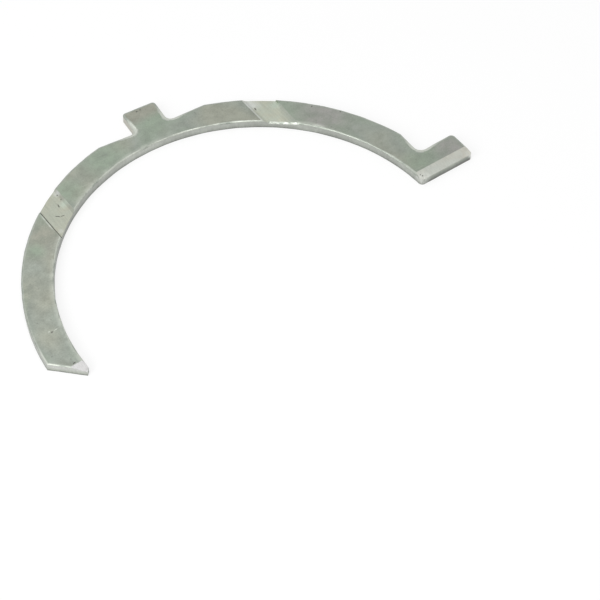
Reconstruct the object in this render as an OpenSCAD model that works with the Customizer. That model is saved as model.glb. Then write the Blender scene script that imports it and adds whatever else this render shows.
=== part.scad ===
// Half thrust washer for a crankshaft: a flat half ring stamped from strip, with a locating lug near
// its crown, a second lug at its square end, a mitred far end and oil grooves across the thrust face.
// Millimetres. The shaft axis is Z, the back face lies on Z = 0 and the thrust face looks up.
// The parting diameter is the X axis, and the ring arches over it towards +Y.

/* [Ring] */
// Bore diameter, which clears the journal
bore_d = 86.4; // [70:0.2:110]
// Width of the ring, from the bore to the rim
ring_width = 6.8; // [5:0.1:12]
// Thickness of the strip
thickness = 2; // [1.6:0.1:3.2]
// Width of the 45 degree chamfer along the bore, on the thrust face
bore_chamfer = 0.3; // [0.1:0.05:0.6]
// Width of the rolled-over edge that stamping leaves round the outline, on the thrust face
roll_width = 0.4; // [0.2:0.05:0.5]
// Depth of that rolled-over edge along the arc
roll_depth = 0.15; // [0.05:0.05:0.4]
// How much deeper it is along the flats, the lugs and the mitred end
roll_extra = 0.03; // [0.02:0.01:0.1]

/* [Crown lug] */
// Place of the lug round the ring, from the square end (90 is the crown)
crown_lug_angle = 85; // [75:0.5:105]
// Width of the lug between its flanks
crown_lug_width = 8.2; // [6:0.1:12]
// Height of the lug above the rim
crown_lug_height = 4.8; // [3.5:0.1:8]
// Depth of the flat beside the lug, below the rim
crown_flat_depth = 1.8; // [0.8:0.1:2.6]
// Fillet between the lug's flank and the flat
crown_root_radius = 1.5; // [0.6:0.1:2]
// Radius of the lug's outer corners
crown_corner_radius = 0.8; // [0.7:0.1:2]

/* [End lug] */
// Width of the lug, from the square end upwards
end_lug_width = 7.1; // [5:0.1:9]
// Height of the lug above the rim
end_lug_height = 7.4; // [4:0.1:10]
// Depth of the flat beside the lug, below the rim
end_flat_depth = 2; // [0.8:0.1:2.6]
// Fillet between the lug and the flat
end_root_radius = 1.8; // [0.6:0.1:2.5]
// Radius of the lug's outer corner
end_corner_radius = 1; // [0.7:0.1:2]

/* [Ends] */
// Gap between the square end and the parting diameter
square_end_gap = 0.4; // [0.1:0.05:1]
// Angle between the mitred end and the parting diameter
mitre_angle = 45; // [30:1:50]
// Gap between the mitred end and the middle of the ring on the parting diameter
mitre_gap = 0.7; // [0.1:0.05:1.5]
// Length taken off the sharp inner tip of the mitred end
tip_trim = 1.1; // [0.5:0.1:2]
// Length of the oil ramp on the square end
square_ramp_length = 2.5; // [1:0.1:4]
// Slope of the oil ramp on the square end, in degrees
square_ramp_slope = 9; // [3:1:15]
// Length of the oil ramp on the mitred end, from the tip as it was before trimming
tip_ramp_length = 3.4; // [2:0.1:5]
// Slope of the oil ramp on the mitred end, in degrees
tip_ramp_slope = 16; // [3:1:20]

/* [Oil grooves] */
// Angle from the crown at which the groove on the square end's side crosses the middle of the ring
square_side_groove_angle = 37.5; // [25:0.5:50]
// Angle from the crown at which the groove on the mitred end's side crosses the middle of the ring
mitre_side_groove_angle = 34.5; // [25:0.5:50]
// Width of a groove at the thrust face
groove_width = 6.5; // [3:0.1:8]
// Depth of a groove
groove_depth = 0.45; // [0.2:0.05:1]
// Sideways run of a groove's sloped wall
groove_wall_run = 0.8; // [0.2:0.05:1.2]
// Sideways run of the steep wall that the mitre-side groove has towards the mitred end
steep_wall_run = 0.15; // [0.05:0.05:0.6]

/* [Hidden] */

// Facets of a full circle
$fn = 240;
// How far a cutter stands past what it cuts
past = 1;
// How far a lug reaches into the ring
bite = 1.5;
// Extra turn of ring stock at each end, in degrees, which the end cuts take off
end_stock = 8;

bore_r = bore_d / 2;
middle_r = bore_r + ring_width / 2;
outer_r = bore_r + ring_width;
// Reach of the cutters that trim an end or a flat
cut_reach = 2 * ring_width;

crown_flat_r = outer_r - crown_flat_depth;
crown_tip_r = outer_r + crown_lug_height;
end_flat_r = outer_r - end_flat_depth;
end_tip_r = outer_r + end_lug_height;

// Stock that stands above the thrust face until the facing cut, and the height it reaches
face_stock = roll_depth / 5;
stock_z = thickness + face_stock;
// Sideways run of the rolled-over edge for each millimetre that it rises
roll_slope = roll_width / roll_depth;
// Height at which it starts along the arc, and its run from there up to the top of the stock
arc_roll_z = thickness - roll_depth;
arc_roll_run = roll_slope * (stock_z - arc_roll_z);
// The same along the flats, the lugs and the mitred end
lug_roll_z = arc_roll_z - roll_extra;
lug_roll_run = roll_slope * (stock_z - lug_roll_z);

// Distance of the mitred end's plane from the shaft axis
mitre_offset = middle_r * sin(mitre_angle) - mitre_gap;
// Distance along that plane from its nearest point to the axis, to where it meets the bore and the rim
mitre_to_bore = sqrt(bore_r ^ 2 - mitre_offset ^ 2);
mitre_to_rim = sqrt(outer_r ^ 2 - mitre_offset ^ 2);
// The sharp inner tip of the mitred end
tip_x = -mitre_offset * sin(mitre_angle) - mitre_to_bore * cos(mitre_angle);
tip_y = -mitre_offset * cos(mitre_angle) + mitre_to_bore * sin(mitre_angle);

// Section of the strip at a stamped edge, which stands depth out from the section's origin
module edge_section(depth) {
    polygon([
        [0, 0],
        [depth, 0],
        [depth, lug_roll_z],
        [depth - lug_roll_run, stock_z],
        [0, stock_z]
    ]);
}

// Ring stock: the strip's section turned about the shaft axis, a little over half a turn
module ring_stock() {
    rotate([0, 0, -end_stock])
        rotate_extrude(angle = 180 + 2 * end_stock)
            polygon([
                [bore_r, 0],
                [outer_r, 0],
                [outer_r, arc_roll_z],
                [outer_r - arc_roll_run, stock_z],
                [bore_r + bore_chamfer + face_stock, stock_z],
                [bore_r, thickness - bore_chamfer]
            ]);
}

// Takes off all beyond y = 0 over a length of X, and leaves a rolled-over edge on the thrust face
module straight_cut(length) {
    rotate([90, 0, 90])
        linear_extrude(length, center = true)
            polygon([
                [0, -past],
                [0, lug_roll_z],
                [-roll_slope * (thickness + past - lug_roll_z), thickness + past],
                [cut_reach, thickness + past],
                [cut_reach, -past]
            ]);
}

// Fillet at a lug's root: centred on the origin, it fills the quarter that faces -X -Y
module root_fillet(radius) {
    rotate([0, 0, 180])
        rotate_extrude(angle = 90)
            polygon([
                [radius, 0],
                [radius + bite, 0],
                [radius + bite, stock_z],
                [radius + lug_roll_run, stock_z],
                [radius, lug_roll_z]
            ]);
}

// Lug along +Y that stands on a flat at flat_r: flanks, tip, rounded corners and root fillets
module lug(width, flat_r, tip_r, root_radius, corner_radius) {
    half = width / 2;
    corner_x = half - corner_radius;
    corner_y = tip_r - corner_radius;
    translate([0, corner_y, 0])
        rotate([90, 0, 0])
            linear_extrude(corner_y - flat_r + bite)
                union() {
                    edge_section(half);
                    mirror([1, 0])
                        edge_section(half);
                }
    translate([-corner_x, flat_r, 0])
        rotate([90, 0, 90])
            linear_extrude(2 * corner_x)
                edge_section(tip_r - flat_r);
    for (side = [0, 1])
        mirror([side, 0, 0]) {
            translate([corner_x, corner_y, 0])
                rotate_extrude()
                    edge_section(corner_radius);
            translate([half + root_radius, flat_r + root_radius, 0])
                root_fillet(root_radius);
        }
}

// Lug that locates the washer in its cap, on the radius at crown_lug_angle
module crown_lug() {
    rotate([0, 0, crown_lug_angle - 90])
        lug(crown_lug_width, crown_flat_r, crown_tip_r, crown_root_radius, crown_corner_radius);
}

// Lug along the square end: it is made twice as wide, and the end's cut halves it
module end_lug() {
    translate([0, square_end_gap, 0])
        rotate([0, 0, -90])
            lug(2 * end_lug_width, end_flat_r, end_tip_r, end_root_radius, end_corner_radius);
}

// Flats on the rim, which take each lug's fillets below the rim
module rim_flats() {
    rotate([0, 0, crown_lug_angle - 90])
        translate([0, crown_flat_r, 0])
            straight_cut(2 * outer_r);
    translate([end_flat_r, 0, 0])
        rotate([0, 0, -90])
            straight_cut(2 * outer_r);
}

// Ramp that falls away towards -Y from the line y = 0 on the thrust face
module oil_ramp(length, slope) {
    translate([0, 0, thickness])
        rotate([slope, 0, 0])
            translate([0, -length - cut_reach, 0])
                cube([end_tip_r + cut_reach, length + cut_reach + past, thickness]);
}

// Square end: its parting face, and its ramp, which runs on across the end lug
module square_end_cuts() {
    translate([0, square_end_gap - 2 * cut_reach, -past])
        cube([end_tip_r + past, 2 * cut_reach, thickness + 2 * past]);
    translate([0, square_end_gap + square_ramp_length, 0])
        oil_ramp(square_ramp_length, square_ramp_slope);
}

// Mitred end: its slanting parting face, the trimmed tip and the ramp over the tip
module mitred_end_cuts() {
    translate([tip_x, tip_y, 0])
        rotate([0, 0, -mitre_angle]) {
            translate([-(mitre_to_rim - mitre_to_bore) / 2, 0, 0])
                rotate([0, 0, 180])
                    straight_cut(mitre_to_rim - mitre_to_bore + 2 * cut_reach);
            translate([-tip_trim, -past, -past])
                cube([tip_trim + past, 2 * tip_trim + past, thickness + 2 * past]);
        }
    translate([-end_tip_r - cut_reach, tip_y + tip_ramp_length, 0])
        oil_ramp(tip_ramp_length, tip_ramp_slope);
}

// Oil groove parallel to Y: a flat floor between two walls, open at the bore and at the rim
module oil_groove(left_run, right_run) {
    half = groove_width / 2;
    rise = past / groove_depth;
    translate([0, 0, thickness])
        rotate([-90, 0, 0])
            linear_extrude(outer_r + past)
                polygon([
                    [-half - rise * left_run, -past],
                    [-half + left_run, groove_depth],
                    [half - right_run, groove_depth],
                    [half + rise * right_run, -past]
                ]);
}

module oil_grooves() {
    translate([middle_r * sin(square_side_groove_angle), 0, 0])
        oil_groove(groove_wall_run, groove_wall_run);
    translate([-middle_r * sin(mitre_side_groove_angle), 0, 0])
        oil_groove(steep_wall_run, groove_wall_run);
}

// Faces the stock down to the strip's thickness
module facing_cut() {
    translate([-end_tip_r - past, -outer_r, thickness])
        cube([2 * (end_tip_r + past), outer_r + crown_tip_r + past, face_stock + past]);
}

module thrust_washer() {
    color([0.64, 0.67, 0.62])
        difference() {
            union() {
                difference() {
                    ring_stock();
                    rim_flats();
                }
                crown_lug();
                end_lug();
            }
            facing_cut();
            square_end_cuts();
            mitred_end_cuts();
            oil_grooves();
        }
}

thrust_washer();
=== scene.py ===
"""Half thrust washer, lying on a pale studio floor with its thrust face up.

The washer is modelled the way it is made: a ring bent out of strip, trimmed at its ends, with lugs
standing on flats, its stamped edge rolled over, and then oil grooves and ramps cut into its face.
"""

from math import cos, exp, radians, sin, sqrt

import bmesh
import bpy
from mathutils import Matrix, Vector, noise


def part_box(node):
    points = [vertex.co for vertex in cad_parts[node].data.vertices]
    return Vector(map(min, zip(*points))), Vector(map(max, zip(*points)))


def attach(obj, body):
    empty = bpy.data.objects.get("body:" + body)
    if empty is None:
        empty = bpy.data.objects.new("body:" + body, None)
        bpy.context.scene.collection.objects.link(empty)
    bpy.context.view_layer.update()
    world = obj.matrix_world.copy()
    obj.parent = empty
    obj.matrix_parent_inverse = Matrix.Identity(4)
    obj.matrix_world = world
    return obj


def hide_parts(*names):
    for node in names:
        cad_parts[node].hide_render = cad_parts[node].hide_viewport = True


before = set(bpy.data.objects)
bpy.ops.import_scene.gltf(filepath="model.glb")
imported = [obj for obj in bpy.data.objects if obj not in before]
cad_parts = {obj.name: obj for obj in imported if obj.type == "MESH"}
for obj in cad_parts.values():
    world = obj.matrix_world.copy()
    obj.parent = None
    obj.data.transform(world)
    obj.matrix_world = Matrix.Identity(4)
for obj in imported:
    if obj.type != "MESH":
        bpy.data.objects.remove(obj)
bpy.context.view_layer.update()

# Camera: one photograph of 600 pixels square, taken from above the washer's open side
LENS_MM = 117.33
SENSOR_MM = 36
CAMERA_AIM = Vector((0.00248, -0.01036, 0))
CAMERA_DISTANCE = 0.40635
CAMERA_ELEVATION = radians(50.406)
CAMERA_AZIMUTH = radians(-37.2298)
CAMERA_ROLL = radians(1.4528)
CAMERA_CLIP = 0.01

# Studio, in metres and watts: the floor's size, tone and glow, the world's light, and each lamp's
# place, size and power
FLOOR_SIZE = 4
FLOOR_TONE = (0.92, 0.92, 0.92, 1)
FLOOR_ROUGHNESS = 0.9
FLOOR_GLOW = 0.67
WORLD_LIGHT = 0.6
WHITE = (1, 1, 1, 1)
LAMPS = {
    "overhead_softbox": ((-0.12, -0.16, 0.6), 0.5, 1.6),
    "side_softbox": ((-0.55, -0.1, 0.35), 0.35, 1.5),
    "back_softbox": ((0.05, 0.3, 0.5), 0.3, 0.2),
}

# Sizes of the washer, in metres, as in the part's source
MM = 0.001
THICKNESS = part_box("thrust_washer")[1].z
BORE_R = 43.2 * MM
RING_WIDTH = 6.8 * MM
WIDEST_CHAMFER = 0.55 * MM

CROWN_LUG_ANGLE = radians(85)
CROWN_LUG_WIDTH = 8.2 * MM
CROWN_LUG_HEIGHT = 4.8 * MM
CROWN_FLAT_DEPTH = 1.8 * MM
CROWN_ROOT_RADIUS = 1.5 * MM
CROWN_CORNER_RADIUS = 0.8 * MM

END_LUG_WIDTH = 7.1 * MM
END_LUG_HEIGHT = 7.4 * MM
END_FLAT_DEPTH = 2 * MM
END_ROOT_RADIUS = 1.8 * MM
END_CORNER_RADIUS = 1 * MM

SQUARE_END_GAP = 0.4 * MM
MITRE_ANGLE = radians(45)
MITRE_GAP = 0.7 * MM
TIP_TRIM = 1.1 * MM
SQUARE_RAMP_LENGTH = 2.5 * MM
SQUARE_RAMP_SLOPE = radians(9)
TIP_RAMP_LENGTH = 3.4 * MM
TIP_RAMP_SLOPE = radians(16)

SQUARE_SIDE_GROOVE_ANGLE = radians(37.5)
MITRE_SIDE_GROOVE_ANGLE = radians(34.5)
GROOVE_WIDTH = 6.5 * MM
GROOVE_DEPTH = 0.45 * MM
GROOVE_WALL_RUN = 0.8 * MM
STEEP_WALL_RUN = 0.15 * MM
# The square-side groove's right wall flares towards the bore: its run at the low and the high y of
# the flare, how far its lip leans in at the low y, the steps in which it is drawn out, and how far
# its cutter stands above the face
FLARE_BORE_RUN = 5.6 * MM
FLARE_RIM_RUN = 0.12 * MM
FLARE_LOW_Y = 29 * MM
FLARE_HIGH_Y = 37.8 * MM
FLARE_LEAN = 0.25 * MM
FLARE_STEPS = 8
FLARE_LIP = 0.01 * MM

# Rolled-over edge: its width along the arcs and at the lugs' roots, how far from a root it is
# wider, and its depth for each metre of width
ROLL_WIDTH = 0.42 * MM
ROOT_ROLL_WIDTH = 1.15 * MM
ROOT_ROLL_REACH = 2.1 * MM
ROLL_FLATNESS = 0.36
# How unevenly it runs along the arc, and over what length it changes
ROLL_UNEVEN = 0.2
ROLL_WAVE = 2.5 * MM
# The bore's chamfer as a share of its widest: its middle value, the shares and lengths by which it
# varies, and how much wider it is towards the square end, and from where
CHAMFER_SHARE = 0.6
CHAMFER_WAVES = ((0.2, 1.8 * MM), (0.15, 7 * MM))
END_CHAMFER_EXTRA = 0.25
END_CHAMFER_REACH = 9 * MM
# Finer shapes: the soft edge between ramp and square end, that end's worn inner and outer corners,
# the broken edge of the back, the grooves' rounded foot and broken edge at the bore, the scored
# line along the steep wall, and how far the die lets the outline wander, over which lengths
END_EDGE_RADIUS = 0.42 * MM
INNER_CORNER_RADIUS = 1 * MM
OUTER_CORNER_RADIUS = 0.7 * MM
BACK_EDGE_BREAK = 0.08 * MM
GROOVE_FOOT_RADIUS = 0.2 * MM
GROOVE_BREAK = 0.34 * MM
SCORE_WIDTH = 0.2 * MM
DIE_WEAR = 0.14 * MM
DIE_WEAR_WAVES = {"X": 3.1 * MM, "Y": 4.3 * MM}

# Stretches of the worn edge where the flared groove runs out into the bore: turn from the X axis,
# length and height in mm, and tilt, with the angles in degrees
GROOVE_BREAKS = [(50.7, 2.8, 1.55, 0), (46.3, 4.4, 1.76, -5.5)]
# Pits filled with dirt, in the grooves and on the face: x, y, height, length and width in mm, and
# turn in degrees
PITS = [
    (26.36, 39.44, 1.55, 0.9, 0.4, 75),
    (-26.9, 37.3, 1.55, 1.2, 0.25, -42),
    (-25.9, 36.85, 1.55, 0.9, 0.2, -8),
    (-25.15, 39.8, 1.55, 1.1, 0.25, 80),
    (-23.9, 42.5, 1.66, 0.5, 0.4, 0),
    (-23.85, 41.0, 1.68, 0.5, 0.4, 40),
    (-45.1, 1.3, 2.0, 0.7, 0.3, 10),
    (36.9, 32.4, 2.0, 0.5, 0.3, 30),
    (41.2, 27.4, 2.0, 0.4, 0.3, 60),
    (3.9, 53.7, 2.0, 0.45, 0.4, 0),
    (4.8, 53.75, 2.0, 0.35, 0.3, 0),
    (43.9, 1.9, 1.84, 0.35, 0.2, 15),
    (44.2, 1.4, 1.77, 0.45, 0.3, 70),
    (-44.62, 10.62, 2.03, 0.62, 0.42, 14),
]
# Dents and scratches with bare metal in them, given in the same way
DENTS = [
    (-45.15, 11, 2.05, 0.5, 0.38, 0),
    (-43.7, 10.75, 2.03, 1, 0.24, 12),
]
SCAR_DEPTH = 0.12 * MM

# Wear that changes along an axis or away from a spot is given as two places: where the change
# starts and where it ends. Bands have half a length and a soft margin.

# Place on the rim, near the mitred end, where the rolled-over edge is lighter
LIGHTER_RIM = Vector((-49.5 * MM, 5.5 * MM, 0))
LIGHTER_RIM_REACH = (1.5 * MM, 4 * MM)
# The face is worn bright along the bore: left of the crown, fading out along X, and in a band
# beside the flared groove
WORN_BAND = 1.2 * MM
WORN_FADE = (2 * MM, 8 * MM)
WORN_BAND_X = 33.2 * MM
WORN_BAND_SPAN = (1.5 * MM, 2 * MM)
# The crown lug turns warm along Y; along X, painted shade darkens the bore's wall on the left arm
# and dims its chamfer on the right arm
WARM_LUG = (49.8 * MM, 52 * MM)
BORE_SHADE_SPAN = (-10 * MM, -28 * MM)
CHAMFER_SHADE_SPAN = (28 * MM, 34 * MM)
# Wear and painted glints round the square end's inner and outer corners, the crown lug's warm
# flank, and the bore's wall that takes painted shade, as a distance from the axis
INNER_WEAR_AND_GLINTS = (0.8 * MM, 3 * MM)
OUTER_WEAR_AND_GLINTS = (0.9 * MM, 1.9 * MM)
WARM_FLANK = (3.2 * MM, 4.8 * MM)
BORE_WALL = (BORE_R + 0.25 * MM, BORE_R + 0.35 * MM)
# Painted highlight of a burr beside the steep wall: its distance from the wall, and its middle and
# band along Y
BURR_HIGHLIGHT_OFFSET = 0.24 * MM
BURR_HIGHLIGHT_Y = 36.8 * MM
BURR_HIGHLIGHT_SPAN = (1 * MM, 2.2 * MM)
# Heights over which the tones of an upright wall run, how far they wander, the heights over which a
# groove's walls take painted shade, and the reach of the square-side groove's left wall, which
# takes a painted highlight
WALL_LEVELS = (0.25 * MM, 1.85 * MM)
WALL_WANDER = 0.5 * MM
GROOVE_WALL_SHADE_LEVELS = (1.58 * MM, 1.95 * MM)
LIT_LEFT_WALL_REACH = 1 * MM
# Roughness of every cloudy pattern, and the size of the small pits on the flats
GRAIN_ROUGHNESS = 0.55
PIT_SIZE = 0.7 * MM

# Working allowances: how far a cutter stands past what it cuts, the extra turn of ring at each end
# that the end cuts take off, how near counts as touching before and after the outline is worn and
# as lying on a cut, how far round a root fillet the edge rolls fully, and how deep the square end's
# faces lie
PAST = 1 * MM
END_STOCK = radians(8)
NEAR = 0.02 * MM
WORN_NEAR = 0.16 * MM
CUT_NEAR = NEAR / 100
FILLET_SLACK = 5 * NEAR
END_DEPTH = 1 * MM
# Fineness of the mesh: steps of the ring, the length from which a wall is divided and the cuts in
# it, sectors of a flat and their shift off the crown, and segments of a corner, the rolled-over
# edge, a soft edge, a groove's foot and the back's edge
RING_STEPS = 490
LONG_WALL = 2 * MM + NEAR
WALL_CUTS = 13
SECTORS = 40
SECTOR_SHIFT = 0.02
CORNER_SEGMENTS = 12
ROLL_SEGMENTS = 6
EDGE_SEGMENTS = 4
FOOT_SEGMENTS = 3
BACK_SEGMENTS = 2
# How much of a face's normal lies along a direction: at least this for a level face, one that looks
# that way and a ramp, and at most this for a steep face and an upright one
LEVEL = 0.999
FACING = 0.95
RAMPED = 0.9
STEEP = 0.5
UPRIGHT = 0.2
# Turn between faces above which an edge stays sharp, and below which two faces count as one
SHARP_ANGLE = radians(32)
FLAT_ANGLE = radians(0.05)

# Radii and places that follow from the sizes
MIDDLE_R = BORE_R + RING_WIDTH / 2
OUTER_R = BORE_R + RING_WIDTH
CROWN_FLAT_R = OUTER_R - CROWN_FLAT_DEPTH
CROWN_TIP_R = OUTER_R + CROWN_LUG_HEIGHT
END_FLAT_R = OUTER_R - END_FLAT_DEPTH
END_TIP_R = OUTER_R + END_LUG_HEIGHT
SQUARE_GROOVE_X = MIDDLE_R * sin(SQUARE_SIDE_GROOVE_ANGLE)
MITRE_GROOVE_X = -MIDDLE_R * sin(MITRE_SIDE_GROOVE_ANGLE)
STEEP_WALL_X = MITRE_GROOVE_X - GROOVE_WIDTH / 2

X = Vector((1, 0, 0))
Y = Vector((0, 1, 0))
# Directions on the thrust face: out of and along the crown's flat and the mitred end, and how far
# that end lies from the axis
CROWN_OUT = Vector((cos(CROWN_LUG_ANGLE), sin(CROWN_LUG_ANGLE), 0))
CROWN_ALONG = Vector((sin(CROWN_LUG_ANGLE), -cos(CROWN_LUG_ANGLE), 0))
MITRE_OUT = Vector((-sin(MITRE_ANGLE), -cos(MITRE_ANGLE), 0))
MITRE_ALONG = Vector((cos(MITRE_ANGLE), -sin(MITRE_ANGLE), 0))
MITRE_OFFSET = MIDDLE_R * sin(MITRE_ANGLE) - MITRE_GAP
# Corners of the outline: the square end's at the bore and on the lug, and the mitred end's tip
SQUARE_CORNER = Vector((sqrt(BORE_R**2 - SQUARE_END_GAP**2), SQUARE_END_GAP, 0))
LUG_CORNER = Vector((END_TIP_R, SQUARE_END_GAP, 0))
TIP = MITRE_OUT * MITRE_OFFSET - MITRE_ALONG * sqrt(BORE_R**2 - MITRE_OFFSET**2)

# Tones of the bearing metal, of the dirt in its pits, and of its walls from foot to top, whose dark
# feet are partly rough fracture and partly painted contact shadow
SAGE = (0.278, 0.334, 0.264)
GREY_METAL = (0.308, 0.337, 0.297)
BEIGE = (0.33, 0.343, 0.288)
WARM_GREY = (0.318, 0.318, 0.268)
COOL_GREY = (0.322, 0.317, 0.3)
CUT_METAL = (0.43, 0.46, 0.388)
CUT_BEIGE = (0.43, 0.437, 0.355)
BRIGHT_METAL = (0.66, 0.675, 0.635)
GROUND_METAL = (0.57, 0.59, 0.565)
COOL_METAL = (0.482, 0.502, 0.458)
WARM_METAL = (0.49, 0.485, 0.43)
ROLLED_METAL = (0.43, 0.455, 0.405)
ROOT_METAL = (0.53, 0.555, 0.5)
TIP_METAL = (0.485, 0.478, 0.482)
PALE_METAL = (0.46, 0.525, 0.445)
DULL_METAL = (0.30, 0.315, 0.285)
# Painted shade, at the mitred end's foot and on the bore's wall along the left arm
PAINTED_SHADE_METAL = (0.19, 0.2, 0.18)
DARK_METAL = (0.1, 0.105, 0.095)
DIRT = (0.11, 0.115, 0.1)
DUST = (0.26, 0.26, 0.23)
WALL_FOOT = (0.25, 0.262, 0.24)
WALL_WAIST = (0.44, 0.462, 0.422)
WALL_TOP = (0.51, 0.532, 0.488)
END_FOOT = (0.225, 0.234, 0.214)
END_WAIST = (0.265, 0.276, 0.254)

# Stains on the thrust face: x, y and reach in mm, then tone
STAINS = [
    (37, 28.3, 9, COOL_GREY),
    (54.5, 4.5, 6, COOL_GREY),
    (-32.5, 33.5, 7, WARM_GREY),
    (46.3, 5, 5, SAGE),
    (4.3, 48, 5.5, SAGE),
    (-10, 45.5, 8, SAGE),
    (-21.5, 42, 5, SAGE),
    (-36.2, 31.2, 3, SAGE),
    (-43.5, 23, 6, BEIGE),
]
# Stains in the oil grooves, given in the same way
GROOVE_STAINS = [
    (26.4, 41.2, 2.6, GROUND_METAL),
    (30.8, 37.8, 1.6, PALE_METAL),
    (-23.9, 39.4, 1.5, PALE_METAL),
    (-23.6, 43, 1.2, GROUND_METAL),
    (-28.5, 33.3, 0.9, GROUND_METAL),
]


# ---- Working on a mesh ----


def activate(piece):
    bpy.ops.object.select_all(action="DESELECT")
    piece.select_set(True)
    bpy.context.view_layer.objects.active = piece


def open_mesh(piece):
    activate(piece)
    bpy.ops.object.mode_set(mode="EDIT")


def close_mesh():
    bpy.ops.object.mode_set(mode="OBJECT")


def pick(test, kind="FACE"):
    """Selects only those faces, edges or vertices of the open mesh for which test is true."""
    bpy.ops.mesh.select_mode(type=kind)
    bpy.ops.mesh.select_all(action="DESELECT")
    data = bpy.context.object.data
    mesh = bmesh.from_edit_mesh(data)
    parts = {"FACE": mesh.faces, "EDGE": mesh.edges, "VERT": mesh.verts}[kind]
    for part in [p for p in parts if test(p)]:
        part.select_set(True)
    mesh.select_flush_mode()
    bmesh.update_edit_mesh(data)


def middle(part):
    """Middle of an edge or a face."""
    return sum((v.co for v in part.verts), Vector()) / len(part.verts)


def cut_off(near, point, normal):
    """Takes off what lies beyond a plane, from the faces near picks out, and closes the cut."""
    pick(lambda face: near(middle(face)))
    bpy.ops.mesh.bisect(
        plane_co=point, plane_no=normal, use_fill=True, clear_outer=True, threshold=CUT_NEAR
    )


def mark_line(near, point, normal):
    """Scores a line where a plane crosses the faces that near picks out."""
    pick(lambda face: near(middle(face)))
    bpy.ops.mesh.bisect(plane_co=point, plane_no=normal, threshold=CUT_NEAR)


def add_block(size, place, turn=(0, 0, 0)):
    bpy.ops.object.select_all(action="DESELECT")
    bpy.ops.mesh.primitive_cube_add(size=1, location=place, rotation=turn, scale=size)
    bpy.ops.object.transform_apply(location=True, rotation=True, scale=True)
    return bpy.context.object


def cut_away(body, cutter, finish):
    """Takes a cutter's shape out of the body and leaves the cut with its finish."""
    cutter.data.materials.clear()
    cutter.data.materials.append(finish)
    step = body.modifiers.new("cut", "BOOLEAN")
    step.operation = "DIFFERENCE"
    step.solver = "MANIFOLD"
    step.material_mode = "TRANSFER"
    step.object = cutter
    activate(body)
    bpy.ops.object.modifier_apply(modifier=step.name)
    bpy.data.objects.remove(cutter)


def bevel_edges(body, share, width, segments):
    """Bevels the edges for which share gives more than 0, each by that share of the width."""
    mesh = bmesh.new()
    mesh.from_mesh(body.data)
    weights = mesh.edges.layers.float.get("bevel_weight_edge")
    if weights is None:
        weights = mesh.edges.layers.float.new("bevel_weight_edge")
    for edge in mesh.edges:
        edge[weights] = share(edge)
    mesh.to_mesh(body.data)
    mesh.free()
    step = body.modifiers.new("edge", "BEVEL")
    step.limit_method = "WEIGHT"
    step.width = width
    step.segments = segments
    step.use_clamp_overlap = False
    activate(body)
    bpy.ops.object.modifier_apply(modifier=step.name)


def paint(piece, finishes):
    """Gives each face the finish of the last rule that holds for it."""
    piece.data.materials.clear()
    for finish, _ in finishes:
        piece.data.materials.append(finish)
    open_mesh(piece)
    for index, (_, rule) in enumerate(finishes):
        pick(rule)
        piece.active_material_index = index
        bpy.ops.object.material_slot_assign()
    close_mesh()


def finish_normals(piece):
    """Shades gentle turns smoothly and leaves the flats flat."""
    activate(piece)
    bpy.ops.object.shade_smooth_by_angle(angle=SHARP_ANGLE)
    step = piece.modifiers.new("even faces", "WEIGHTED_NORMAL")
    step.keep_sharp = True
    step.weight = 100
    bpy.ops.object.modifier_apply(modifier=step.name)


# ---- Telling edges and faces apart ----


def is_upright(edge, place):
    """True for an edge that runs through the strip's thickness at a place on the thrust face."""
    return all((v.co.xy - place.xy).length < NEAR for v in edge.verts)


def rims(edge, height):
    """True for an edge of the outline at that height."""
    level = all(abs(v.co.z - height) < NEAR for v in edge.verts)
    return level and any(abs(face.normal.z) < STEEP for face in edge.link_faces)


def on_bore(edge):
    return all(abs(v.co.xy.length - BORE_R) < NEAR for v in edge.verts)


def on_square_end(edge):
    return all(v.co.x > 0 and abs(v.co.y - SQUARE_END_GAP) < WORN_NEAR for v in edge.verts)


def on_trimmed_tip(edge):
    return all(
        v.co.x < 0 and abs((v.co - TIP).dot(MITRE_ALONG) + TIP_TRIM) < NEAR for v in edge.verts
    )


def is_sloped(face):
    return UPRIGHT < face.normal.z < LEVEL


def is_bore_face(face):
    return all(v.co.xy.length < BORE_R + WIDEST_CHAMFER + WORN_NEAR for v in face.verts)


def is_mitred_end(face):
    return face.normal.dot(MITRE_OUT) > FACING and middle(face).x < 0


def is_square_end(face):
    return face.normal.y < -FACING and middle(face).x > BORE_R and middle(face).y < END_DEPTH


# ---- Shape of the washer ----


def ring_stock():
    """The strip's section, spun a little over half a turn, with its ends and flats trimmed."""
    start = Vector((cos(-END_STOCK), sin(-END_STOCK), 0)) * MIDDLE_R
    bpy.ops.object.select_all(action="DESELECT")
    bpy.ops.mesh.primitive_plane_add(
        size=1,
        location=start + Vector((0, 0, THICKNESS / 2)),
        rotation=(radians(90), 0, -END_STOCK),
    )
    ring = bpy.context.object
    ring.scale = (RING_WIDTH, THICKNESS, 1)
    bpy.ops.object.transform_apply(location=True, rotation=True, scale=True)
    open_mesh(ring)
    bpy.ops.mesh.select_all(action="SELECT")
    bpy.ops.mesh.spin(
        steps=RING_STEPS, angle=radians(180) + 2 * END_STOCK, center=(0, 0, 0), axis=(0, 0, -1)
    )
    bpy.ops.mesh.select_all(action="SELECT")
    bpy.ops.mesh.remove_doubles(threshold=NEAR / 10)
    bpy.ops.mesh.normals_make_consistent(inside=False)
    end_zone = OUTER_R / 2
    cut_off(lambda p: p.x > 0 and p.y < end_zone, (0, SQUARE_END_GAP, 0), (0, -1, 0))
    cut_off(lambda p: p.x > 0 and p.y < end_zone, (END_FLAT_R, 0, 0), (1, 0, 0))
    cut_off(lambda p: p.x < 0 and p.y < end_zone, MITRE_OUT * MITRE_OFFSET, MITRE_OUT)
    cut_off(lambda p: p.x < 0 and p.y < end_zone, TIP - MITRE_ALONG * TIP_TRIM, MITRE_ALONG)
    cut_off(lambda p: p.y > end_zone, CROWN_OUT * CROWN_FLAT_R, CROWN_OUT)
    close_mesh()
    return ring


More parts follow.
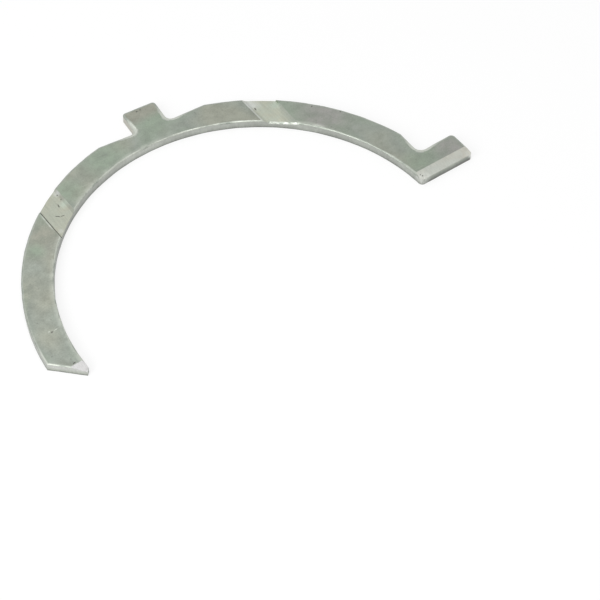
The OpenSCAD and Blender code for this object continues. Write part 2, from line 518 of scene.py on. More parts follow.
def grow_lug(flat, out, along, low, high, length):
    """Draws a lug out of a flat, between two lines across it."""

    def beside(spot):
        return spot.dot(out) > flat - RING_WIDTH and abs(spot.dot(along)) < RING_WIDTH * 3

    def on_lug_foot(face):
        spot = middle(face)
        return abs(spot.dot(out) - flat) < NEAR and low < spot.dot(along) < high

    for edge in (low, high):
        mark_line(beside, along * edge, along)
    pick(on_lug_foot)
    bpy.ops.mesh.extrude_region_move(TRANSFORM_OT_translate={"value": out * length})


def round_upright_edges(places, radius):
    pick(lambda edge: any(is_upright(edge, place) for place in places), "EDGE")
    bpy.ops.mesh.bevel(offset=radius, segments=CORNER_SEGMENTS, affect="EDGES")


def join_corner_facets():
    """Joins the bore's short facets beside the square end, so that its corner can be rounded."""
    low, high = SQUARE_END_GAP + NEAR, SQUARE_END_GAP + 1.5 * INNER_CORNER_RADIUS

    def is_facet_edge(edge):
        spot = middle(edge)
        upright = abs(edge.verts[0].co.z - edge.verts[1].co.z) > NEAR
        return upright and on_bore(edge) and spot.x > 0 and low < spot.y < high

    pick(is_facet_edge, "EDGE")
    bpy.ops.mesh.dissolve_edges()


def grow_lugs(ring):
    """Both lugs, with their outer corners and their roots on the flats rounded."""
    half = CROWN_LUG_WIDTH / 2
    end_top = SQUARE_END_GAP + END_LUG_WIDTH
    open_mesh(ring)
    grow_lug(CROWN_FLAT_R, CROWN_OUT, CROWN_ALONG, -half, half, CROWN_TIP_R - CROWN_FLAT_R)
    grow_lug(END_FLAT_R, X, Y, 0, end_top, END_TIP_R - END_FLAT_R)
    bpy.ops.mesh.select_all(action="SELECT")
    bpy.ops.mesh.remove_doubles(threshold=NEAR / 20)
    bpy.ops.mesh.dissolve_limited(angle_limit=FLAT_ANGLE)
    flanks = [CROWN_ALONG * side for side in (-half, half)]
    round_upright_edges([CROWN_OUT * CROWN_TIP_R + flank for flank in flanks], CROWN_CORNER_RADIUS)
    round_upright_edges([CROWN_OUT * CROWN_FLAT_R + flank for flank in flanks], CROWN_ROOT_RADIUS)
    round_upright_edges([Vector((END_TIP_R, end_top, 0))], END_CORNER_RADIUS)
    round_upright_edges([Vector((END_FLAT_R, end_top, 0))], END_ROOT_RADIUS)
    join_corner_facets()
    round_upright_edges([SQUARE_CORNER], INNER_CORNER_RADIUS)
    round_upright_edges([LUG_CORNER], OUTER_CORNER_RADIUS)
    close_mesh()


def divide_walls(blank):
    """Divides the straight walls, so that their edge can roll and wander unevenly."""
    open_mesh(blank)
    pick(
        lambda edge: edge.calc_length() > LONG_WALL
        and abs(edge.verts[0].co.z - edge.verts[1].co.z) < NEAR,
        "EDGE",
    )
    bpy.ops.mesh.subdivide(number_cuts=WALL_CUTS)
    close_mesh()


def wear_outline(blank):
    """Lets the outline wander by a few hundredths of a millimetre, as a worn die leaves it."""
    for axis, size in DIE_WEAR_WAVES.items():
        wear = bpy.data.textures.new("die_wear_" + axis, "CLOUDS")
        wear.noise_scale = size
        step = blank.modifiers.new("die wear", "DISPLACE")
        step.texture = wear
        step.texture_coords = "LOCAL"
        step.direction = axis
        step.strength = DIE_WEAR
        activate(blank)
        bpy.ops.object.modifier_apply(modifier=step.name)
    open_mesh(blank)
    pick(lambda vert: vert.co.x > END_TIP_R, "VERT")
    bpy.ops.transform.resize(value=(0, 1, 1), center_override=(END_TIP_R, 0, 0))
    close_mesh()


def divide_flats(blank):
    """Divides the thrust face and the back into sectors, so that each cut meets small faces."""
    open_mesh(blank)
    for step in range(1, SECTORS):
        turn = radians(180) * (step + SECTOR_SHIFT) / SECTORS
        pick(lambda face: abs(face.normal.z) > LEVEL)
        bpy.ops.mesh.bisect(
            plane_co=(0, 0, 0), plane_no=(-sin(turn), cos(turn), 0), threshold=CUT_NEAR
        )
    close_mesh()


def root_fillets():
    """Centre and radius of each lug's root fillets."""
    crown = CROWN_OUT * (CROWN_FLAT_R + CROWN_ROOT_RADIUS)
    sideways = CROWN_ALONG * (CROWN_LUG_WIDTH / 2 + CROWN_ROOT_RADIUS)
    end = Vector((END_FLAT_R, SQUARE_END_GAP + END_LUG_WIDTH, 0)) + (X + Y) * END_ROOT_RADIUS
    return [
        (crown - sideways, CROWN_ROOT_RADIUS),
        (crown + sideways, CROWN_ROOT_RADIUS),
        (end, END_ROOT_RADIUS),
    ]


def roll_share(edge):
    """Width of the rolled-over edge as a share of that at a root, 0 where nothing is rolled."""
    if not rims(edge, THICKNESS) or on_bore(edge) or on_square_end(edge) or on_trimmed_tip(edge):
        return 0
    spot = middle(edge)
    gap = min(
        max(0, sqrt(max(0, (spot.xy - centre.xy).length_squared - radius**2)) - FILLET_SLACK)
        for centre, radius in root_fillets()
    )
    nearness = exp(-((gap / ROOT_ROLL_REACH) ** 2))
    arc_share = ROLL_WIDTH / ROOT_ROLL_WIDTH
    on_arc = abs(spot.xy.length - OUTER_R) < NEAR
    uneven = 1 + ROLL_UNEVEN * noise.noise(spot / ROLL_WAVE) if on_arc else 1
    return min(1, (arc_share + (1 - arc_share) * nearness) * uneven)


def chamfer_share(edge):
    """Width of the bore's chamfer as a share of its widest, 0 off the bore."""
    if not (rims(edge, THICKNESS) and on_bore(edge)):
        return 0
    spot = middle(edge)
    uneven = sum(share * noise.noise(spot / wave) for share, wave in CHAMFER_WAVES)
    near_end = exp(-((spot.y / END_CHAMFER_REACH) ** 2)) if spot.x > 0 else 0
    return CHAMFER_SHARE + uneven + END_CHAMFER_EXTRA * near_end


def roll_stamped_edges(blank):
    """The rolled-over edge of the outline, the bore's chamfer, and the broken edge of the back."""
    bevel_edges(blank, roll_share, ROOT_ROLL_WIDTH, ROLL_SEGMENTS)
    open_mesh(blank)
    roll_foot = THICKNESS - ROOT_ROLL_WIDTH - NEAR
    pick(lambda vert: roll_foot < vert.co.z < THICKNESS - NEAR / 10, "VERT")
    bpy.ops.transform.resize(value=(1, 1, ROLL_FLATNESS), center_override=(0, 0, THICKNESS))
    close_mesh()
    bevel_edges(blank, chamfer_share, WIDEST_CHAMFER, EDGE_SEGMENTS)
    bevel_edges(blank, lambda edge: 1 if rims(edge, 0) else 0, BACK_EDGE_BREAK, BACK_SEGMENTS)


def groove_cutter(centre_x, left_run, right_run):
    """Cutter for one oil groove, with a sloped or a steep wall on each side of its floor."""
    floor_z = THICKNESS - GROOVE_DEPTH
    height = GROOVE_DEPTH + PAST
    rise = PAST / GROOVE_DEPTH
    cutter = add_block(
        (GROOVE_WIDTH, OUTER_R, height), (centre_x, OUTER_R / 2 + 2 * PAST, floor_z + height / 2)
    )
    open_mesh(cutter)
    for side, run in ((-1, left_run), (1, right_run)):
        pick(lambda vert: side * (vert.co.x - centre_x) > 0 and vert.co.z < THICKNESS, "VERT")
        bpy.ops.transform.translate(value=(-side * run, 0, 0))
        pick(lambda vert: side * (vert.co.x - centre_x) > 0 and vert.co.z > THICKNESS, "VERT")
        bpy.ops.transform.translate(value=(side * rise * run, 0, 0))
        if run > GROOVE_FOOT_RADIUS:
            pick(
                lambda edge: all(
                    side * (v.co.x - centre_x) > 0 and v.co.z < THICKNESS for v in edge.verts
                ),
                "EDGE",
            )
            bpy.ops.mesh.bevel(
                offset=GROOVE_FOOT_RADIUS, segments=FOOT_SEGMENTS, affect="EDGES"
            )
    close_mesh()
    return cutter


def flare_right_wall(cutter):
    """Lets the right wall of the square-side groove's cutter flare towards the bore."""
    edge_x = SQUARE_GROOVE_X + GROOVE_WIDTH / 2
    low_lip = THICKNESS + FLARE_LIP
    rise = FLARE_LIP / GROOVE_DEPTH
    open_mesh(cutter)
    cut_off(lambda p: True, (0, 0, low_lip), (0, 0, 1))
    cut_off(lambda p: True, (0, FLARE_LOW_Y, 0), (0, -1, 0))
    shares = [step / FLARE_STEPS for step in range(FLARE_STEPS + 1)]
    levels = [FLARE_LOW_Y + (FLARE_HIGH_Y - FLARE_LOW_Y) * share for share in shares]
    for y in levels[1:]:
        mark_line(lambda p: True, (0, y, 0), (0, 1, 0))
    for share, y in zip(shares, levels):
        run = FLARE_BORE_RUN + (FLARE_RIM_RUN - FLARE_BORE_RUN) * share
        lean = FLARE_LEAN * (1 - share)
        top_y = y + NEAR if share < 1 else 2 * OUTER_R
        for low_z, x in ((True, edge_x - lean - run), (False, edge_x - lean + rise * run)):
            pick(
                lambda vert: vert.co.x > edge_x - PAST
                and y - NEAR < vert.co.y < top_y
                and (vert.co.z < THICKNESS) == low_z,
                "VERT",
            )
            bpy.ops.transform.resize(value=(0, 1, 1), center_override=(x, 0, 0))
    close_mesh()
    return cutter


def break_cutter(angle, length, height, tilt):
    """Cutter for one stretch of the worn edge where the flared groove runs out into the bore."""
    out = Vector((cos(radians(angle)), sin(radians(angle)), 0))
    side = GROOVE_BREAK * sqrt(2)
    turn = (
        Matrix.Rotation(radians(angle), 3, "Z")
        @ Matrix.Rotation(radians(tilt), 3, "X")
        @ Matrix.Rotation(radians(45), 3, "Y")
    )
    place = out * BORE_R + Vector((0, 0, height * MM))
    return add_block((side, length * MM, side), place, turn.to_euler())


def score_cutter():
    """Cutter for the fine line that the tool has scored along the steep wall's foot."""
    place = Vector(
        (
            STEEP_WALL_X + STEEP_WALL_RUN + SCORE_WIDTH / 2,
            OUTER_R / 2 + 2 * PAST,
            THICKNESS - GROOVE_DEPTH,
        )
    )
    side = SCORE_WIDTH * sqrt(0.5)
    return add_block((side, OUTER_R, side), place, (0, radians(45), 0))


def ramp_cutter(x_low, x_high, y_start, length, slope):
    """Cutter for an oil ramp, which falls away towards -Y from a line across the thrust face."""
    reach = length + OUTER_R / 4
    height = 2 * THICKNESS
    turn = Matrix.Rotation(slope, 3, "X")
    offset = turn @ Vector((0, (PAST - reach) / 2, height / 2))
    centre = Vector(((x_low + x_high) / 2, y_start, THICKNESS)) + offset
    return add_block((x_high - x_low, reach + PAST, height), centre, (slope, 0, 0))


def scar_cutter(scar):
    """Cutter for one pit, dent or scratch: a ball pressed flat and drawn out."""
    x, y, z, length, width, turn = scar
    bpy.ops.object.select_all(action="DESELECT")
    bpy.ops.mesh.primitive_ico_sphere_add(
        subdivisions=2,
        radius=0.5,
        location=(x * MM, y * MM, z * MM),
        rotation=(0, 0, radians(turn)),
    )
    ball = bpy.context.object
    ball.scale = (length * MM, width * MM, 2 * SCAR_DEPTH)
    bpy.ops.object.transform_apply(location=True, rotation=True, scale=True)
    return ball


def cut_thrust_face(blank):
    """Oil grooves across the face, the ramps at both ends, and the scars of use."""
    cut_metal = milled_groove()
    bright = ground_ramp()
    broken = broken_edge()
    dirt = packed_dirt()
    dented = bruised_metal()
    square_start = SQUARE_END_GAP + SQUARE_RAMP_LENGTH
    tip_start = TIP.y + TIP_RAMP_LENGTH
    flared = flare_right_wall(groove_cutter(SQUARE_GROOVE_X, GROOVE_WALL_RUN, FLARE_RIM_RUN))
    cut_away(blank, flared, cut_metal)
    for place in GROOVE_BREAKS:
        cut_away(blank, break_cutter(*place), broken)
    cut_away(blank, groove_cutter(MITRE_GROOVE_X, STEEP_WALL_RUN, GROOVE_WALL_RUN), cut_metal)
    cut_away(blank, score_cutter(), dirt)
    for ramp in (
        (BORE_R / 2, END_TIP_R + PAST, square_start, SQUARE_RAMP_LENGTH, SQUARE_RAMP_SLOPE),
        (-OUTER_R - PAST, -BORE_R / 2, tip_start, TIP_RAMP_LENGTH, TIP_RAMP_SLOPE),
    ):
        cut_away(blank, ramp_cutter(*ramp), bright)
    for scar in PITS:
        cut_away(blank, scar_cutter(scar), dirt)
    for scar in DENTS:
        cut_away(blank, scar_cutter(scar), dented)


def soften_square_end(blank):
    """Rounds the edge where the ramp runs out into the square end."""

    def is_end_lip(edge):
        tilts = [face.normal.z for face in edge.link_faces]
        faces_end = any(is_square_end(face) for face in edge.link_faces)
        return faces_end and max(tilts) > RAMPED and abs(min(tilts)) < UPRIGHT

    bevel_edges(
        blank, lambda edge: 1 if is_end_lip(edge) else 0, END_EDGE_RADIUS, EDGE_SEGMENTS
    )


def half_washer():
    """The whole washer, from the strip to the scars of use."""
    blank = ring_stock()
    grow_lugs(blank)
    divide_walls(blank)
    roll_stamped_edges(blank)
    wear_outline(blank)
    divide_flats(blank)
    paint(
        blank,
        [
            (thrust_face(), lambda face: True),
            (rolled_edge(), is_sloped),
            (bore_chamfer(), lambda face: is_sloped(face) and is_bore_face(face)),
            (sheared_wall(), lambda face: abs(face.normal.z) < UPRIGHT),
            (mitred_end(), is_mitred_end),
            (square_end(), is_square_end),
            (strip_back(), lambda face: face.normal.z < -UPRIGHT),
        ],
    )
    cut_thrust_face(blank)
    soften_square_end(blank)
    blank.name = blank.data.name = "half_washer"
    return blank


# ---- Finishes ----


def add_node(tree, kind, sockets=None, **settings):
    node = tree.nodes.new(kind)
    for name, value in settings.items():
        setattr(node, name, value)
    for name, value in (sockets or {}).items():
        node.inputs[name].default_value = value
    return node


def bare_metal(name, metallic=1):
    """A new metal finish: its material, its node tree and the piece's own coordinates."""
    material = bpy.data.materials.new(name)
    material.use_nodes = True
    tree = material.node_tree
    tree.nodes["Principled BSDF"].inputs["Metallic"].default_value = metallic
    place = add_node(tree, "ShaderNodeTexCoord").outputs["Object"]
    return material, tree, place


def finished(material, tone, roughness, height, depth):
    """Joins a tone, a roughness and a height pattern, as bumps of that depth, to a finish."""
    tree = material.node_tree
    shader = tree.nodes["Principled BSDF"]
    bump = add_node(tree, "ShaderNodeBump", {"Strength": 1, "Distance": depth})
    tree.links.new(height, bump.inputs["Height"])
    tree.links.new(tone, shader.inputs["Base Color"])
    tree.links.new(roughness, shader.inputs["Roughness"])
    tree.links.new(bump.outputs["Normal"], shader.inputs["Normal"])
    return material


def grain(tree, place, size, detail, stretch=(1, 1, 1)):
    """Cloudy pattern from 0 to 1, with spots of about that size in metres."""
    mapping = add_node(tree, "ShaderNodeMapping", {"Scale": stretch})
    cloud = add_node(
        tree,
        "ShaderNodeTexNoise",
        {"Scale": 1 / size, "Detail": detail, "Roughness": GRAIN_ROUGHNESS},
    )
    tree.links.new(place, mapping.inputs["Vector"])
    tree.links.new(mapping.outputs["Vector"], cloud.inputs["Vector"])
    return cloud.outputs["Fac"]


def ranged(tree, value, span, to=(0, 1)):
    """Turns a value that runs over one span into one that runs over another."""
    node = add_node(
        tree,
        "ShaderNodeMapRange",
        {"From Min": span[0], "From Max": span[1], "To Min": to[0], "To Max": to[1]},
    )
    tree.links.new(value, node.inputs["Value"])
    return node.outputs["Result"]


def combined(tree, operation, first, second):
    """Works out one value from two: either may be a plain number."""
    node = add_node(tree, "ShaderNodeMath", operation=operation)
    for socket, value in zip(node.inputs, (first, second)):
        if isinstance(value, (int, float)):
            socket.default_value = value
        else:
            tree.links.new(value, socket)
    return node.outputs["Value"]


def toned(tree, value, stops):
    """Tone that follows a value through the given stops."""
    ramp = add_node(tree, "ShaderNodeValToRGB")
    points = ramp.color_ramp.elements
    while len(points) < len(stops):
        points.new(1)
    for point, (position, tone) in zip(points, stops):
        point.position = position
        point.color = (*tone, 1)
    tree.links.new(value, ramp.inputs["Fac"])
    return ramp.outputs["Color"]


def layered(tree, share, under, over, mode="MIX"):
    """Lays one tone over another: either may be a plain tone."""
    node = add_node(tree, "ShaderNodeMix", data_type="RGBA", blend_type=mode)
    factor, lower, upper = node.inputs[0], node.inputs[6], node.inputs[7]
    if isinstance(share, (int, float)):
        factor.default_value = share
    else:
        tree.links.new(share, factor)
    for socket, tone in ((lower, under), (upper, over)):
        if isinstance(tone, tuple):
            socket.default_value = (*tone, 1)
        else:
            tree.links.new(tone, socket)
    return node.outputs[2]


def darkened(tree, tone, value, span, darkest):
    """Darkens a tone where a value is low: to its darkest share at the low end of the span."""
    low, high = span
    shade = toned(tree, value, [(low, (darkest,) * 3), (high, (1, 1, 1))])
    return layered(tree, 1, tone, shade, "MULTIPLY")


def along_axis(tree, place, axis):
    node = add_node(tree, "ShaderNodeSeparateXYZ")
    tree.links.new(place, node.inputs["Vector"])
    return node.outputs[axis]


def band(tree, value, centre, half_width, margin):
    """1 within half a width of the centre, falling to 0 over the margin beyond it."""
    offset = combined(tree, "ABSOLUTE", combined(tree, "SUBTRACT", value, centre), 0)
    return ranged(tree, offset, (half_width, half_width + margin), (1, 0))


def near_spot(tree, place, spot, reach):
    """1 within the lesser reach of a spot on the face, falling to 0 at the greater one."""
    offset = add_node(tree, "ShaderNodeVectorMath", operation="DISTANCE")
    offset.inputs[1].default_value = Vector((spot.x, spot.y, THICKNESS))
    tree.links.new(place, offset.inputs[0])
    return ranged(tree, offset.outputs["Value"], reach, (1, 0))


def stained(tree, place, tone, stains, uneven):
    """Lays stains over a tone, each of them fading unevenly towards its reach."""
    strength = ranged(tree, uneven, (0.3, 0.6), (0.5, 0.9))
    for x, y, reach, stain in stains:
        spot = Vector((x * MM, y * MM, 0))
        near = near_spot(tree, place, spot, (reach * MM / 4, reach * MM))
        tone = layered(tree, combined(tree, "MULTIPLY", near, strength), tone, stain)
    return tone


def small_pits(tree, place, strength):
    """Share of dark in the small pits that are scattered over a flat."""
    return ranged(tree, grain(tree, place, PIT_SIZE, 0), (0.76, 0.84), (0, strength))


def corner_wear_and_glints(tree, place, uneven):
    """Share of bright wear and painted glints round the inner and the outer corner of the square
    end.
    """
    inner = near_spot(tree, place, SQUARE_CORNER, INNER_WEAR_AND_GLINTS)
    outer = near_spot(tree, place, LUG_CORNER, OUTER_WEAR_AND_GLINTS)
    near = combined(tree, "MAXIMUM", inner, outer)
    return combined(tree, "MULTIPLY", near, ranged(tree, uneven, (0.4, 0.58), (0.2, 0.95)))


def thrust_face():
    """Bearing metal with cloudy sage, grey and beige tones, fine scratches, small pits and a
    painted highlight along a burr.
    """
    material, tree, place = bare_metal("thrust_face")
    across = along_axis(tree, place, "X")
    upward = along_axis(tree, place, "Y")
    clouds = grain(tree, place, size=13 * MM, detail=1)
    patches = grain(tree, place, size=2.4 * MM, detail=3)
    fine = grain(tree, place, size=0.3 * MM, detail=2)
    tone = toned(tree, clouds, [(0.36, SAGE), (0.5, GREY_METAL), (0.64, BEIGE)])
    tone = stained(tree, place, tone, STAINS, patches)
    tone = layered(tree, ranged(tree, upward, WARM_LUG, (0, 0.85)), tone, WARM_GREY)
    tone = darkened(tree, tone, patches, (0.28, 0.62), 0.84)
    tone = darkened(tree, tone, fine, (0.3, 0.65), 0.9)
    lines = grain(tree, place, size=0.22 * MM, detail=1, stretch=(0.05, 1, 1))
    tone = layered(tree, ranged(tree, lines, (0.66, 0.76), (0, 0.3)), tone, CUT_METAL)
    pits = small_pits(tree, place, 0.25)
    tone = layered(tree, pits, tone, DARK_METAL)
    worn = combined(
        tree,
        "MAXIMUM",
        ranged(tree, across, WORN_FADE, (0.42, 0)),
        band(tree, across, WORN_BAND_X, *WORN_BAND_SPAN),
    )
    worn = combined(tree, "MULTIPLY", worn, ranged(tree, patches, (0.35, 0.6), (0.3, 0.9)))
    by_bore = near_spot(tree, place, Vector(), (BORE_R + WORN_BAND / 3, BORE_R + WORN_BAND))
    tone = layered(tree, combined(tree, "MULTIPLY", worn, by_bore), tone, ROOT_METAL)
    # Painted highlight along the burr beside the steep wall
    burr_highlight = combined(
        tree,
        "MULTIPLY",
        band(tree, across, STEEP_WALL_X - BURR_HIGHLIGHT_OFFSET, BURR_HIGHLIGHT_OFFSET / 4, BURR_HIGHLIGHT_OFFSET / 2),
        band(tree, upward, BURR_HIGHLIGHT_Y, *BURR_HIGHLIGHT_SPAN),
    )
    burr_highlight = combined(tree, "MULTIPLY", burr_highlight, ranged(tree, patches, (0.35, 0.55), (0.15, 0.6)))
    tone = layered(tree, burr_highlight, tone, BRIGHT_METAL)
    roughness = ranged(tree, patches, (0.3, 0.7), (0.5, 0.38))
    height = combined(tree, "ADD", combined(tree, "MULTIPLY", fine, 0.35), patches)
    height = combined(tree, "SUBTRACT", height, combined(tree, "MULTIPLY", pits, 0.8))
    return finished(material, tone, roughness, height, depth=0.035 * MM)


def rolled_edge():
    """Smooth, lighter metal where the die has rolled the edge over."""
    material, tree, place = bare_metal("rolled_edge")
    patches = grain(tree, place, size=1.6 * MM, detail=3)
    fine = grain(tree, place, size=0.25 * MM, detail=2)
    tone = toned(tree, patches, [(0.35, GREY_METAL), (0.7, ROLLED_METAL)])
    for centre, radius in root_fillets():
        reach = (radius + ROOT_ROLL_WIDTH / 2, radius + ROOT_ROLL_REACH)
        tone = layered(tree, near_spot(tree, place, centre, reach), tone, ROOT_METAL)
    tone = layered(tree, near_spot(tree, place, LIGHTER_RIM, LIGHTER_RIM_REACH), tone, ROOT_METAL)
    height = along_axis(tree, place, "Z")
    lip = ranged(tree, height, (THICKNESS - NEAR, THICKNESS), (0, 0.75))
    tone = layered(tree, lip, tone, GREY_METAL)
    tone = darkened(tree, tone, fine, (0.3, 0.6), 0.9)
    roughness = ranged(tree, patches, (0.3, 0.7), (0.46, 0.34))
    return finished(material, tone, roughness, patches, depth=0.03 * MM)


def bore_chamfer():
    """Bright broken edge of the bore, worn unevenly along its length, with painted shade dimming it
    on the right arm.
    """
    material, tree, place = bare_metal("bore_chamfer")
    wear = grain(tree, place, size=3.2 * MM, detail=4)
    fine = grain(tree, place, size=0.3 * MM, detail=2)
    tone = toned(tree, wear, [(0.36, GREY_METAL), (0.46, ROLLED_METAL), (0.66, ROOT_METAL)])
    # Painted shade that dims the chamfer on the right arm, against the lamp's reflection
    chamfer_shade = ranged(tree, along_axis(tree, place, "X"), CHAMFER_SHADE_SPAN, (0, 0.55))
    tone = layered(tree, chamfer_shade, tone, GREY_METAL)
    tone = darkened(tree, tone, fine, (0.3, 0.55), 0.86)
    roughness = ranged(tree, wear, (0.35, 0.6), (0.55, 0.42))
    return finished(material, tone, roughness, fine, depth=0.03 * MM)


def upright_metal(name, stops):
    """Sheared metal: tones that follow its height, unevenly, with streaks down the wall; the dark
    foot is partly painted contact shadow, and painted shade and glints lie on it in places.
    """
    material, tree, place = bare_metal(name)
    uneven = grain(tree, place, size=1.3 * MM, detail=3)
    streaks = grain(tree, place, size=0.5 * MM, detail=4, stretch=(1, 1, 0.3))
    clouds = grain(tree, place, size=9 * MM, detail=2)
    wander = combined(tree, "MULTIPLY", uneven, WALL_WANDER)
    level = combined(tree, "ADD", along_axis(tree, place, "Z"), wander)
    share = ranged(tree, level, WALL_LEVELS)
    tone = toned(tree, share, stops)
    tone = darkened(tree, tone, clouds, (0.35, 0.6), 0.84)
    tone = darkened(tree, tone, streaks, (0.3, 0.65), 0.86)
    flank = CROWN_OUT * (CROWN_TIP_R - CROWN_LUG_HEIGHT / 2) - CROWN_ALONG * CROWN_LUG_WIDTH / 2
    tone = layered(tree, near_spot(tree, place, flank, WARM_FLANK), tone, WARM_METAL)
    # Painted shade on the bore's wall along the left arm, which faces away from the lamps
    at_bore = near_spot(tree, place, Vector(), BORE_WALL)
    bore_shade = ranged(tree, along_axis(tree, place, "X"), BORE_SHADE_SPAN, (0, 0.6))
    tone = layered(tree, combined(tree, "MULTIPLY", at_bore, bore_shade), tone, PAINTED_SHADE_METAL)
    # Wear and painted glints round the square end's corners
    tone = layered(tree, corner_wear_and_glints(tree, place, uneven), tone, BRIGHT_METAL)
    roughness = ranged(tree, share, (0, 0.6), (0.6, 0.42))
    height = combined(tree, "ADD", streaks, uneven)
    return finished(material, tone, roughness, height, depth=0.025 * MM)


def sheared_wall():
    # The dark foot is partly the rough fracture zone and partly painted contact shadow
    return upright_metal("sheared_wall", [(0, WALL_FOOT), (0.3, WALL_WAIST), (0.75, WALL_TOP)])


def mitred_end():
    # Painted contact shadow at the foot, and painted light over the upper part of this end, which
    # faces the lamps
    return upright_metal("mitred_end", [(0, PAINTED_SHADE_METAL), (0.3, ROOT_METAL), (0.8, BRIGHT_METAL)])


def square_end():
    # Low, dark tones: partly rough fracture, partly painted shade of an end that faces away from
    # the lamps, with painted contact shadow at its foot
    return upright_metal(
        "square_end", [(0, END_FOOT), (0.4, END_WAIST), (0.65, GREY_METAL), (0.95, ROLLED_METAL)]
    )


def milled_groove():
    """Freshly cut metal of the oil grooves, with fine tool lines along them, painted shade on their
    walls and a painted highlight on one wall.
    """
    material, tree, place = bare_metal("milled_groove")
    across = along_axis(tree, place, "X")
    patches = grain(tree, place, size=2.8 * MM, detail=3)
    lines = grain(tree, place, size=0.28 * MM, detail=2, stretch=(1, 0.06, 1))
    fine = grain(tree, place, size=0.3 * MM, detail=2)
    tone = toned(tree, patches, [(0.36, CUT_BEIGE), (0.6, CUT_METAL)])
    # Painted shade on the grooves' walls, and a painted highlight on the square-side groove's left
    # wall
    left_wall_x = SQUARE_GROOVE_X - GROOVE_WIDTH / 2
    lit_left_wall = band(tree, across, left_wall_x, LIT_LEFT_WALL_REACH, LIT_LEFT_WALL_REACH)
    lip = ranged(tree, along_axis(tree, place, "Z"), GROOVE_WALL_SHADE_LEVELS, (0, 0.7))
    tone = layered(tree, lip, tone, layered(tree, lit_left_wall, GREY_METAL, GROUND_METAL))
    mitre_side = ranged(tree, across, (-NEAR, NEAR), (0.3, 0))
    tone = layered(tree, mitre_side, tone, WARM_GREY)
    tone = stained(tree, place, tone, GROOVE_STAINS, patches)
    tone = darkened(tree, tone, lines, (0.3, 0.6), 0.88)
    tone = darkened(tree, tone, fine, (0.28, 0.55), 0.9)
    roughness = ranged(tree, patches, (0.3, 0.7), (0.36, 0.48))
    height = combined(tree, "ADD", lines, patches)
    return finished(material, tone, roughness, height, depth=0.03 * MM)


def broken_edge():
    """Edge knocked bright in places, with duller metal between them."""
    material, tree, place = bare_metal("broken_edge")
    knocks = grain(tree, place, size=0.9 * MM, detail=3)
    tone = toned(tree, knocks, [(0.38, GREY_METAL), (0.5, ROLLED_METAL), (0.68, GROUND_METAL)])
    roughness = ranged(tree, knocks, (0.35, 0.6), (0.55, 0.42))
    return finished(material, tone, roughness, knocks, depth=0.1 * MM)


def ground_ramp():
    """Bright ground metal of the ramps, with short grinding lines down the slope."""
    material, tree, place = bare_metal("ground_ramp")
    patches = grain(tree, place, size=4 * MM, detail=3)
    lines = grain(tree, place, size=0.2 * MM, detail=2, stretch=(1, 0.12, 1))
    tone = toned(tree, patches, [(0.36, WARM_METAL), (0.58, COOL_METAL)])
    at_tip = ranged(tree, along_axis(tree, place, "X"), (-NEAR, NEAR), (0.85, 0))
    tone = layered(tree, at_tip, tone, TIP_METAL)
    # Wear and painted glints round the square end's corners
    tone = layered(tree, corner_wear_and_glints(tree, place, patches), tone, BRIGHT_METAL)
    tone = darkened(tree, tone, lines, (0.3, 0.6), 0.86)
    roughness = ranged(tree, lines, (0.3, 0.7), (0.36, 0.48))
    return finished(material, tone, roughness, lines, depth=0.03 * MM)


def packed_dirt():
    """Old oil and dust, pressed into pits and along the scored line."""
    material, tree, place = bare_metal("packed_dirt", metallic=0.4)
    crumbs = grain(tree, place, size=0.3 * MM, detail=3)
    tone = toned(tree, crumbs, [(0.35, DIRT), (0.7, DUST)])
    roughness = ranged(tree, crumbs, (0.3, 0.7), (0.6, 0.8))
    return finished(material, tone, roughness, crumbs, depth=0.04 * MM)


def bruised_metal():
    """Bare metal in a dent or scratch, lighter than the face round it."""
    material, tree, place = bare_metal("bruised_metal")
    specks = grain(tree, place, size=0.5 * MM, detail=2)
    tone = toned(tree, specks, [(0.4, ROLLED_METAL), (0.6, ROOT_METAL)])
    roughness = ranged(tree, specks, (0.3, 0.7), (0.55, 0.4))
    return finished(material, tone, roughness, specks, depth=0.04 * MM)


def strip_back():
    """Plain steel back of the strip, with rolling lines along it and faint stains."""
    material, tree, place = bare_metal("strip_back")
    stains = grain(tree, place, size=7 * MM, detail=4)
    lines = grain(tree, place, size=0.7 * MM, detail=2, stretch=(0.08, 1, 1))
    tone = toned(tree, stains, [(0.35, DULL_METAL), (0.6, GREY_METAL)])
    tone = darkened(tree, tone, lines, (0.3, 0.65), 0.9)
    tone = layered(tree, small_pits(tree, place, 0.35), tone, DARK_METAL)
    roughness = ranged(tree, stains, (0.3, 0.7), (0.5, 0.38))
    return finished(material, tone, roughness, lines, depth=0.012 * MM)


# ---- Camera and studio ----


def make_camera():
    data = bpy.data.cameras.new("camera")
    data.lens = LENS_MM
    data.sensor_width = SENSOR_MM
    data.sensor_fit = "HORIZONTAL"
    data.clip_start = CAMERA_CLIP
    camera = bpy.data.objects.new("camera", data)
    bpy.context.collection.objects.link(camera)
    turn = (
        Matrix.Rotation(CAMERA_AZIMUTH, 4, "Z")
        @ Matrix.Rotation(radians(90) - CAMERA_ELEVATION, 4, "X")
        @ Matrix.Rotation(CAMERA_ROLL, 4, "Z")
    )
    away = turn @ Vector((0, 0, CAMERA_DISTANCE))
    camera.matrix_world = Matrix.Translation(CAMERA_AIM + away) @ turn
    bpy.context.scene.camera = camera


def seen_directly(tree):
    """1 for what the camera sees straight on, in a reflection or through glass, otherwise 0."""
    path = add_node(tree, "ShaderNodeLightPath")
    seen = combined(tree, "MAXIMUM", path.outputs["Is Camera Ray"], path.outputs["Is Glossy Ray"])
    return combined(tree, "MAXIMUM", seen, path.outputs["Is Transmission Ray"])


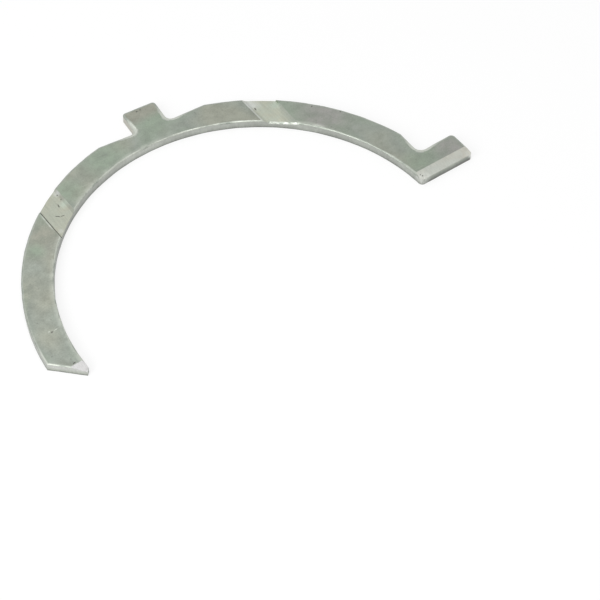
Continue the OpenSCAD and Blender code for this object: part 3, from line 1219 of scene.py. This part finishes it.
def make_floor():
    """White floor that still takes a soft shadow, and is clear when seen from beneath."""
    bpy.ops.object.select_all(action="DESELECT")
    bpy.ops.mesh.primitive_plane_add(size=FLOOR_SIZE, location=(0, 0, -NEAR))
    floor = bpy.context.object
    floor.name = "studio_floor"
    material = bpy.data.materials.new("pale_floor")
    material.use_nodes = True
    tree = material.node_tree
    shader = tree.nodes["Principled BSDF"]
    shader.inputs["Base Color"].default_value = FLOOR_TONE
    shader.inputs["Roughness"].default_value = FLOOR_ROUGHNESS
    shader.inputs["Specular IOR Level"].default_value = 0
    glow = add_node(tree, "ShaderNodeEmission", {"Color": WHITE, "Strength": 1})
    mix = add_node(tree, "ShaderNodeMixShader")
    tree.links.new(ranged(tree, seen_directly(tree), (0, 1), (0, FLOOR_GLOW)), mix.inputs[0])
    tree.links.new(shader.outputs["BSDF"], mix.inputs[1])
    tree.links.new(glow.outputs["Emission"], mix.inputs[2])
    clear = add_node(tree, "ShaderNodeBsdfTransparent")
    one_way = add_node(tree, "ShaderNodeMixShader")
    beneath = add_node(tree, "ShaderNodeNewGeometry").outputs["Backfacing"]
    tree.links.new(beneath, one_way.inputs[0])
    tree.links.new(mix.outputs["Shader"], one_way.inputs[1])
    tree.links.new(clear.outputs["BSDF"], one_way.inputs[2])
    tree.links.new(one_way.outputs["Shader"], tree.nodes["Material Output"].inputs["Surface"])
    floor.data.materials.append(material)


def make_world():
    world = bpy.data.worlds.new("studio")
    bpy.context.scene.world = world
    world.use_nodes = True
    tree = world.node_tree
    background = tree.nodes["Background"]
    background.inputs["Color"].default_value = WHITE
    strength = ranged(tree, seen_directly(tree), (0, 1), (WORLD_LIGHT, 1))
    tree.links.new(strength, background.inputs["Strength"])


def add_lamp(name, place, size, power):
    data = bpy.data.lights.new(name, "AREA")
    data.size = size
    data.energy = power
    lamp = bpy.data.objects.new(name, data)
    bpy.context.collection.objects.link(lamp)
    lamp.location = place
    lamp.rotation_euler = (-lamp.location).to_track_quat("-Z", "Y").to_euler()


make_camera()
make_floor()
make_world()
for lamp_name, lamp in LAMPS.items():
    add_lamp(lamp_name, *lamp)

washer = half_washer()
finish_normals(washer)
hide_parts("thrust_washer")
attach(washer, "root")

bpy.context.scene.view_settings.view_transform = "Standard"
